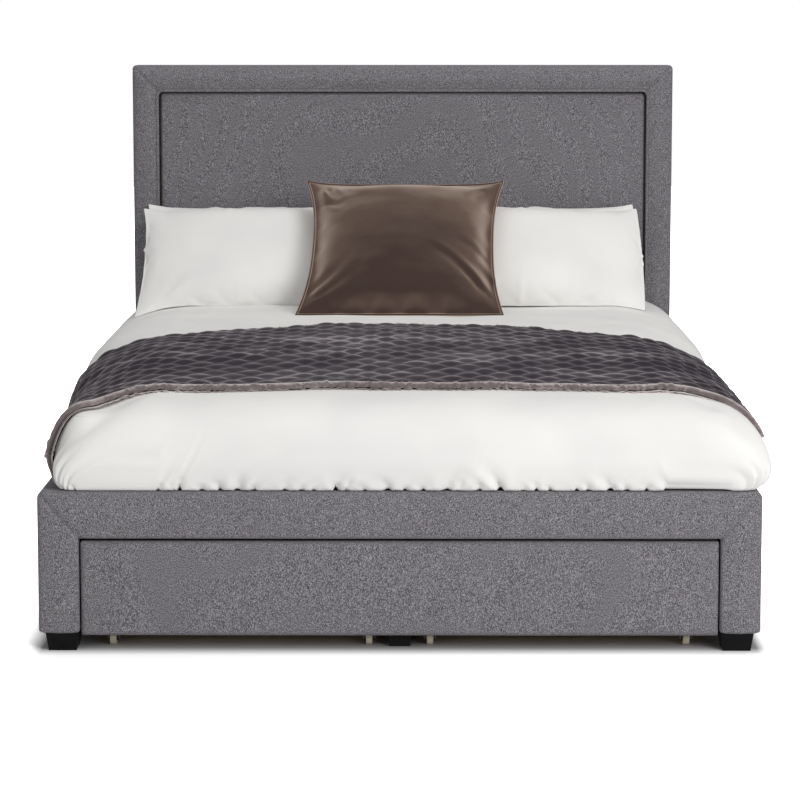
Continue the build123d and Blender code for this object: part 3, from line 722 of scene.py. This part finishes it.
def duvet_gathers(span):
    """Small and large folds all round the hem, and more of them at the two corners of the foot."""
    small = Folds(
        -span, span, pitch=(0.016, 0.060), width=(0.003, 0.006), rise=(0.014, 0.038),
        depth=(0.004, 0.009), lean=(-0.5, 0.5), seed=4,
    )
    large = Folds(
        -span, span, pitch=(0.09, 0.24), width=(0.007, 0.013), rise=(0.04, 0.09),
        depth=(0.005, 0.011), lean=(-0.6, 0.6), seed=11,
    )
    at_left = Folds(
        FLAT_LEFT - CORNER_RUN, FLAT_LEFT + 0.08, pitch=(0.03, 0.05), width=(0.003, 0.006),
        rise=(0.09, 0.17), depth=(0.003, 0.006), lean=(0.25, 0.6), seed=3,
    )
    at_right = Folds(
        FLAT_RIGHT + 0.02, FLAT_RIGHT + CORNER_RUN, pitch=(0.025, 0.05), width=(0.004, 0.008),
        rise=(0.05, 0.11), depth=(0.005, 0.010), lean=(-0.7, -0.1), seed=8,
    )
    return [small, large, at_left, at_right]


def duvet():
    """The duvet, plump over the rails and gathered where it is tucked in."""
    pitch, fine, drop, stacking = 0.012, 0.006, 0.12, 1.1
    falls = [1 - (1 - share) ** 1.5 for share in steps(72)[1:]]
    columns = [(0, level) for level in reversed(falls)]
    columns += [(share, 0) for share in steps(round((FLAT_RIGHT - FLAT_LEFT) / fine))]
    columns += [(1, level) for level in falls]
    head = DUVET_HIGH.y
    rows = [(mix(head, FLAT_FOOT, share), 0) for share in steps(round((head - FLAT_FOOT) / pitch))]
    rows += [(FLAT_FOOT, level) for level in falls]
    gathers = duvet_gathers(FLAT_RIGHT + CORNER_RUN + head - FLAT_FOOT)
    points = []
    for y, along in rows:
        for share, across in columns:
            x = mix(flat_edge(-1, y), flat_edge(1, y), share)
            point, outward = bed_surface(across, along, (x, y))
            level = max(across, along)
            if level > 0.2:
                turn = corner_turn(across, along)
                past = CORNER_RUN * (1 - 2 * turn / pi) if across > 0 else 0.0
                run = x + copysign(past + y - FLAT_FOOT, x)
                push = sum(folds.push(run, point.z - HEM) for folds in gathers)
                point += outward * push
                point.z = max(point.z + max(-push, 0) * stacking * smooth((level - 0.7) / 0.12), HEM)
            points.append(point)
    closing = len(columns)
    points += [(point.x, head, max(point.z - drop, HEM)) for point in points[:closing]]
    faces = grid_faces(len(rows), closing)
    last = len(rows) * closing
    faces += [(index, index + 1, last + index + 1, last + index) for index in range(closing - 1)]
    build("duvet_cover", points, faces, "white_cotton", ["duvet"])


class Throw:
    """A quilted throw across the foot, down to the rail on the left and just over the right side.

    The reach is a distance across the bed along its surface, and the share is 0 at the front edge.
    """

    # The ends lie this far past the level middle of the bed, and the edges this far in front of the CAD's.
    left_end, right_end = FLAT_LEFT - 0.41, FLAT_RIGHT + 0.285
    front, back = THROW_LOW.y - 0.035, THROW_HIGH.y - 0.17
    front_left_drawn, back_left_drawn, back_right_drawn = 0.15, 0.30, 0.36
    pitch, diamond, loft, lift, thick = 0.0065, 0.078, 0.007, 0.008, 0.004
    hang_from, hang_inward, hang_down = 0.74, 0.25, 0.97

    def reaches(self, pitch):
        """Places from the left end to the right."""
        count = round((self.right_end - self.left_end) / pitch)
        return [mix(self.left_end, self.right_end, share) for share in steps(count)]

    def drawn(self, reach, share):
        """How far the throw is drawn towards the foot: its front at the left, its back at both ends."""
        front = self.front_left_drawn * smooth((-reach - 0.55) / 0.35) * (1 - share)
        most = self.back_right_drawn if reach > 0 else self.back_left_drawn
        return front + most * smooth((abs(reach) - 0.12) / 0.72) * share

    def place(self, reach, share):
        """Where the throw's middle layer is, and its normal."""
        ruffle = 0.005 * noise((reach * 9, share * 2, 0.4))
        ruffle += 0.012 * noise((reach * 2.3, share * 2, 8.1))
        y = mix(self.front, self.back, share) - self.drawn(reach, share) + ruffle
        side = copysign(1, reach)
        edge = flat_edge(side, max(y, FLAT_FOOT))
        past = max((reach - edge) * side, 0)
        x = edge if past > 0 else reach
        level = past / FALL_LENGTH
        held = min(level, self.hang_from)
        point, _ = bed_surface(held, 0, (x, y))
        slope = bed_form(held + 0.02, 0, (x, y)) - bed_form(held, 0, (x, y))
        normal = Vector((0, 0, 1))
        if level > 0:
            normal = Vector((copysign(-slope.z, side), 0, abs(slope.x))).normalized()
        front_lift, left_slope, right_closer = 0.004, 0.04, 0.005
        away = self.lift + front_lift * exp(-share / 0.02) + 0.002 * noise(point * 5)
        if side < 0:
            away += left_slope * max(FLAT_FOOT - y, 0)
        else:
            away -= right_closer * smooth(level / 0.6)
        hung = max(level - self.hang_from, 0) * FALL_LENGTH
        point += normal * away + Vector((-side * self.hang_inward * hung, 0, -self.hang_down * hung))
        return point, normal

    def puff(self, reach, share):
        """How full the quilting is: 0 on a seam and about 1 in the middle of a diamond."""
        wander, seam_sharpness, edge_seam = 0.016, 0.8, 0.02
        y = mix(self.front, self.back, share)
        warp = Vector((reach * 3, y * 3, 5))
        reach += wander * noise(warp)
        y += wander * noise(warp + Vector((7, 1, 2)))
        first, second = (reach + y) / self.diamond, (reach - y) / self.diamond
        full = (abs(sin(pi * first)) * abs(sin(pi * second))) ** seam_sharpness
        rim = min(share, 1 - share) * (self.back - self.front)
        return full * smooth(rim / edge_seam) * (0.85 + 0.6 * noise(warp * 3))

    def quilt(self):
        across = self.reaches(self.pitch)
        along = steps(round((self.back - self.front) / self.pitch))
        top, under = [], []
        for share in along:
            for reach in across:
                point, normal = self.place(reach, share)
                top.append(point + normal * (self.thick + self.loft * self.puff(reach, share)))
                under.append(point - normal * self.thick)
        faces = grid_faces(len(along), len(across))
        start = len(top)
        faces += [tuple(start + index for index in reversed(face)) for face in faces]
        rim = grid_rim(len(along), len(across))
        for index, following in zip(rim, rim[1:] + rim[:1]):
            faces.append((index, start + index, start + following, following))
        return build("throw_quilt", top + under, faces, "quilted_velvet", ["throw"])

    def bind(self, name, share, high, low, depth, shift, seed):
        """A ruffled binding along the front (share 0) or the back edge (share 1).

        It runs from high to low over the edge and stands out by depth, and by shift more at both ends.
        """
        pitch, overlap, flutter_depth, wave_height = 0.004, 0.007, 0.005, 0.0042
        reaches = self.reaches(pitch)
        places = [self.place(reach, share) for reach in reaches]
        crinkles = Folds(
            self.left_end, self.right_end, pitch=(0.008, 0.035), width=(0.002, 0.004), rise=(0.03, 0.06),
            depth=(0.0015, 0.004), lean=(-1.2, 1.2), seed=seed,
        )
        middle = (high + low) / 2
        section = [
            (-overlap, high), (0, high), (depth * 0.6, mix(high, middle, 0.15)),
            (depth * 0.95, mix(high, middle, 0.55)), (depth, middle), (depth * 0.9, mix(low, middle, 0.5)),
            (depth * 0.5, mix(low, middle, 0.1)), (0, low), (-overlap, low),
        ]
        sign = 1 if share < 0.5 else -1
        points = []
        for index, (reach, (point, normal)) in enumerate(zip(reaches, places)):
            before, after = places[max(index - 1, 0)][0], places[min(index + 1, len(places) - 1)][0]
            outward = (after - before).cross(normal).normalized() * sign
            spread = shift * smooth((abs(reach) - 0.35) / 0.35)
            calm = 1 - 0.8 * smooth((abs(reach) - 0.62) / 0.1)
            for number, (out, up) in enumerate(section):
                level = number / (len(section) - 1)
                crease = crinkles.push(reach, 0.012 * level) * calm
                flutter = flutter_depth * noise((reach * 110, level * 2, seed)) * calm
                wave = wave_height * noise((reach * 105, 3.3 + level, seed)) * calm
                inner = 0 if number in (0, len(section) - 1) else 1
                points.append(
                    point + outward * (out + spread + (crease + flutter) * inner)
                    + normal * (up + (0.3 * crease + wave) * inner)
                )
        faces = tube_faces(len(reaches), len(section))
        return build(name, points, faces, "velvet_binding")

    def lay(self):
        quilt = self.quilt()
        bands = [
            self.bind("throw_binding", 0, high=0.0055, low=-0.0085, depth=0.007, shift=0, seed=5),
            self.bind("throw_hem", 0, high=-0.0095, low=-0.0135, depth=0.009, shift=0.014, seed=17),
            self.bind("throw_back_binding", 1, high=0.0045, low=-0.006, depth=0.006, shift=0, seed=23),
        ]


# ---- pillows and cushion
class Crease:
    """A soft valley in the front of a pillow, from one place to another, in metres from its middle."""

    def __init__(self, start, end, width, depth):
        self.start, self.along = Vector(start), Vector(end) - Vector(start)
        self.width, self.depth = width, depth

    def push(self, x, y):
        """How far the crease moves the cloth outwards here."""
        bow, lip, lip_place = 0.06, 0.8, 1.5
        offset = Vector((x, y)) - self.start
        share = offset.dot(self.along) / self.along.length_squared
        if not 0 < share < 1:
            return 0.0
        length = self.along.length
        bend = bow * length * sin(pi * share)
        off = (offset.cross(self.along) / length - bend) / (self.width * (0.6 + 0.8 * share))
        taper = smooth(share / 0.15) * (1 - share) ** 0.7
        return self.depth * taper * (lip * exp(-((off - lip_place) ** 2)) - exp(-off * off))


class Outline:
    """A case seen from the front, in half widths, and how far its top dips in the middle.

    Each side says how far its low and its high corner reach and how far its seam bends in.
    """

    def __init__(self, left, right, dip):
        self.left, self.right, self.dip = left, right, dip

    def fit(self, across, up):
        """The place, in half widths and heights, of a point this share across and up the case."""
        bow = 1 - abs(2 * up - 1) ** 2.5
        dip = self.dip * (1 - min(abs(2 * across - 1), 1) ** 6)
        left, right = (mix(low, high, up) - bend * bow for low, high, bend in (self.left, self.right))
        return mix(-left, right, across), up * (1 - dip)


class Pillow:
    """Two sheets sewn at the rim and blown up by the cloth simulation, then leaned on what is behind."""

    def __init__(self, name, node, finish, size, outline, creases, pressure, fill, seed):
        self.name, self.node, self.finish = name, node, finish
        self.width, self.height = size
        self.outline, self.creases = outline, creases
        self.pressure, self.fill, self.seed = pressure, fill, seed

    def sew(self):
        """The flat case before it is filled, in its own plane."""
        pitch, plumpness, unevenness = 0.011, 0.03, 0.002
        columns, rows = round(self.width / pitch), round(self.height / pitch)
        points, back = [], []
        for side in (1, -1):
            for row in range(rows + 1):
                for column in range(columns + 1):
                    rim = row in (0, rows) or column in (0, columns)
                    if side < 0:
                        back.append(len(back) if rim else len(points))
                        if rim:
                            continue
                    u, v = 2 * column / columns - 1, 2 * row / rows - 1
                    plump = plumpness * (1 - u**4) * (1 - v**4)
                    wobble = unevenness * noise((u * 4, v * 4, self.seed + side))
                    height = 0 if rim else side * plump + wobble
                    points.append((u * self.width / 2, v * self.height / 2, height))
        faces = grid_faces(rows + 1, columns + 1)
        faces += [tuple(back[corner] for corner in reversed(face)) for face in faces]
        across, count = columns + 1, len(back)
        self.rim = grid_rim(rows + 1, across)
        self.ends = [range(across), range(count - across, count)]
        self.sides = [range(0, count, across), range(columns, count, across)]
        mesh = bpy.data.meshes.new(self.name + "_case")
        mesh.from_pydata(points, [], faces)
        self.blank = add_object(self.name + "_case", mesh)
        cloth = self.blank.modifiers.new("Fill", "CLOTH").settings
        adjust(
            cloth, quality=6, mass=0.25, tension_stiffness=18, compression_stiffness=18, shear_stiffness=8,
            bending_stiffness=3, use_pressure=True, uniform_pressure_force=self.pressure,
        )
        cloth.effector_weights.gravity = 0

    def take(self):
        """The filled shape's points and faces, with the simulation applied."""
        evaluated = self.blank.evaluated_get(bpy.context.evaluated_depsgraph_get())
        mesh = evaluated.to_mesh()
        self.points = [vertex.co.copy() for vertex in mesh.vertices]
        self.faces = [tuple(polygon.vertices) for polygon in mesh.polygons]
        evaluated.to_mesh_clear()
        bpy.data.objects.remove(self.blank)

    def shares(self):
        """How far across and up the case each point is, between its own seams."""
        ends = [sorted((self.points[i].x, self.points[i].y) for i in end) for end in self.ends]
        sides = [sorted((self.points[i].y, self.points[i].x) for i in side) for side in self.sides]
        for point in self.points:
            low, high = (value_at(end, point.x) for end in ends)
            left, right = (value_at(side, point.y) for side in sides)
            yield (point.x - left) / (right - left), (point.y - low) / (high - low)

    def lean(self):
        """Fit the filled case to the space of its CAD solid, leaning back, flat where it rests."""
        side_fullness, rim_sharpness, clear = 0.4, 1.4, 0.001
        low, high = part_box(self.node)
        middle, half = (low.x + high.x) / 2, (high.x - low.x) / 2
        thick = max(abs(point.z) for point in self.points)
        bottom, chord, out, front, back = self.seams()
        deep, bow = (front + back) / 2, (front - back) / 2
        placed = []
        for point, (across, up) in zip(self.points, self.shares()):
            plump = deep * max(4 * across * (1 - across), 0) ** side_fullness
            across, up = self.outline.fit(across, up)
            away = copysign((abs(point.z) / thick) ** rim_sharpness, point.z) * plump
            away += bow * 4 * up * (1 - up)
            if point.z > 0:
                away += sum(crease.push(across * half, (up - 0.5) * chord.length) for crease in self.creases)
            place = bottom + chord * up + out * away
            x = middle + across * half
            bed = bed_height(x, place.y)
            sag = (TOP - bed) * max(1 - up, 0) ** 1.5
            placed.append(Vector((x, place.y, max(place.z - sag, bed + clear))))
        return placed

    def seams(self):
        """The CAD solid's low seam, the ways to its high seam and outwards, and its bulge front and back."""
        vertices = frame["nodes"][self.node].data.vertices
        corners = [Vector((0, *vertex.co.yz)) for vertex in vertices]
        corners.sort(key=lambda corner: (round(corner.z, 4), corner.y))
        bottom, chord = corners[0], corners[-1] - corners[0]
        out = Vector((0, -chord.z, chord.y)).normalized()
        offsets = [(corner - bottom).dot(out) for corner in corners]
        return bottom, chord, out, max(offsets), -min(offsets)

    def finish_piece(self):
        points = self.lean()
        piece = build(self.name, points, self.faces, self.finish, [self.node])
        finer = piece.modifiers.new("Smooth", "SUBSURF")
        finer.levels = finer.render_levels = 1
        return [points[index] for index in self.rim]


def pillow_cases():
    """Four pillows: two in front, and two behind them."""
    corners = [
        Crease((-0.33, -0.20), (-0.20, -0.06), 0.014, 0.003),
        Crease((-0.33, 0.19), (-0.25, 0.10), 0.010, 0.003),
        Crease((0.34, -0.20), (0.22, -0.05), 0.014, 0.003),
        Crease((0.33, 0.19), (0.26, 0.11), 0.010, 0.003),
    ]
    left_case = Outline(left=(1.01, 1.0, 0.05), right=(0.95, 0.95, 0.03), dip=0.05)
    right_case = Outline(left=(0.95, 0.95, 0.03), right=(1.0, 0.985, -0.01), dip=0.05)
    return [
        Pillow(
            f"{row}_pillow_{side}", f"pillow_{row}_{side}", "white_cotton", size=(0.78, 0.46),
            outline=outline, creases=corners, pressure=4.0, fill=0.6, seed=seed,
        )
        for row, seeds in (("front", (1.0, 7.0)), ("back", (13.0, 21.0)))
        for side, outline, seed in zip(("left", "right"), (left_case, right_case), seeds)
    ]


def cushion_case():
    """The square cushion. Its seams pull at every corner, and most of all at the top left."""
    low_right = [
        Crease((0.23, -0.20), (0.07, -0.06), 0.010, 0.008),
        Crease((0.25, -0.215), (0.14, -0.11), 0.008, 0.007),
        Crease((0.27, -0.18), (0.20, -0.10), 0.008, 0.006),
        Crease((0.24, -0.08), (0.14, -0.02), 0.010, 0.004),
    ]
    low_left = [
        Crease((-0.27, -0.20), (-0.13, -0.06), 0.014, 0.005),
        Crease((-0.26, -0.22), (-0.14, -0.15), 0.009, 0.005),
    ]
    top = [
        Crease((-0.215, 0.225), (-0.175, 0.155), 0.014, 0.012),
        Crease((-0.225, 0.15), (-0.165, 0.12), 0.009, 0.007),
        Crease((-0.185, 0.235), (-0.145, 0.165), 0.010, 0.007),
        Crease((0.24, 0.22), (0.20, 0.15), 0.010, 0.005),
    ]
    return Pillow(
        "velvet_cushion", "cushion", "brown_velvet", size=(0.60, 0.50),
        outline=Outline(left=(1.045, 0.98, 0.12), right=(1.0, 1.05, 0.11), dip=0.035),
        creases=low_right + low_left + top, pressure=1.2, fill=0.7, seed=31.0,
    )


def pillows():
    """Fill all the cases in one run of the simulation, then put them in their places."""
    frames, piping_radius = 10, 0.0035
    cushion = cushion_case()
    cases = [*pillow_cases(), cushion]
    for case in cases:
        case.sew()
    for number in range(1, frames + 1):
        bpy.context.scene.frame_set(number)
    for case in cases:
        case.take()
        rim = case.finish_piece()
        if case is cushion:
            sweep_tube("cushion_piping", rim, piping_radius, "brown_velvet", sides=8, closed=True)


# ---- stage
def area_light(name, place, target, size, power):
    data = bpy.data.lights.new(name, "AREA")
    data.shape, data.size, data.energy = "SQUARE", size, power
    lamp = add_object(name, data)
    lamp.location = place
    lamp.rotation_euler = (Vector(target) - Vector(place)).to_track_quat("-Z", "Y").to_euler()


def lamps():
    """Large soft lamps: the key from the right front, a weak fill from the left and one overhead."""
    area_light("key", (3.2, FOOT - 4.2, 2.8), (0, FOOT, 0.5), size=3.2, power=220)
    area_light("fill", (-3.4, FOOT - 4.0, 2.2), (0, FOOT, 0.5), size=3.4, power=36)
    area_light("overhead", (0.3, -0.2, 4.2), (0, 0, 0), size=3.2, power=40)


def surround():
    """A white world for the camera and for reflections, which lights the bed less than it shows."""
    light_strength, seen_strength = 0.31, 1.0
    world = bpy.data.worlds.new("surround")
    bpy.context.scene.world = world
    world.use_nodes = True
    tree = world.node_tree
    rays = add_node(tree, "LightPath").outputs
    seen = add_node(tree, "Math", {0: rays["Is Camera Ray"], 1: rays["Is Glossy Ray"]}, operation="MAXIMUM")
    strength = add_node(
        tree, "MapRange", {"Value": seen.outputs[0], "To Min": light_strength, "To Max": seen_strength}
    )
    background = tree.nodes["Background"].inputs
    background["Color"].default_value = (1, 1, 1, 1)
    tree.links.new(strength.outputs[0], background["Strength"])


def grey(value):
    return value, value, value, 1


def floor_paint():
    """Painted shade, grey, under the bed and white beyond it to the camera, painted brighter beside the bed
    where its shadow falls, and one plain tone for all other light.
    """
    under, edge, beside, beyond, plain = grey(0.45), grey(1.64), grey(6), grey(9), grey(0.75)
    paint = Surface("floor", 0.9, Specular_IOR_Level=0.0)
    seen = paint.node("LightPath").outputs["Is Camera Ray"]
    place = paint.node("SeparateXYZ", {0: paint.place}).outputs
    past_side = paint.maths("SUBTRACT", paint.maths("ABSOLUTE", place[0]), cad_bounds[1].x)
    past_end = paint.maths("SUBTRACT", paint.maths("ABSOLUTE", place[1]), cad_bounds[1].y)
    outside = paint.maths("MAXIMUM", past_side, past_end)
    # For the camera the floor starts as painted shade under the bed, then is painted white over the bed's
    # shadow at its edge and beside it, and white far off.
    white = under
    for distance, start, end, tone in (
        (outside, -0.04, 0.03, edge), (past_side, -0.045, 0.06, beside), (outside, 0.06, 1.2, beyond),
    ):
        spread = paint.node("MapRange", {"Value": distance, "From Min": start, "From Max": end})
        white = paint.blend(spread.outputs[0], white, tone)
    return paint.colour(paint.blend(seen, plain, white)).material


def floor():
    half_width, front, back = 9, -9, 16
    corners = [(-half_width, front, 0), (half_width, front, 0), (half_width, back, 0), (-half_width, back, 0)]
    mesh = bpy.data.meshes.new("floor")
    mesh.from_pydata(corners, [], [(0, 1, 2, 3)])
    mesh.materials.append(floor_paint())
    add_object("floor", mesh)


def camera():
    """A long lens in front of the foot, a little above the headboard and looking down on the bed."""
    aside, distance, height, pitch, yaw = 0.0241, 5.6243, 1.3869, 6.471, 0.234
    data = bpy.data.cameras.new("camera")
    data.sensor_width, data.lens, data.shift_y = 36, 115.35, -0.10
    eye = add_object("camera", data)
    eye.location = (aside, FOOT - distance, height)
    eye.rotation_euler = (radians(90 - pitch), 0, radians(yaw))
    bpy.context.scene.camera = eye
    bpy.context.scene.view_settings.view_transform = "Standard"


headboard_border()
headboard_panel()
headboard_piping()
foot_end()
drawer_front()
duvet()
Throw().lay()
pillows()
lamps()
surround()
floor()
camera()
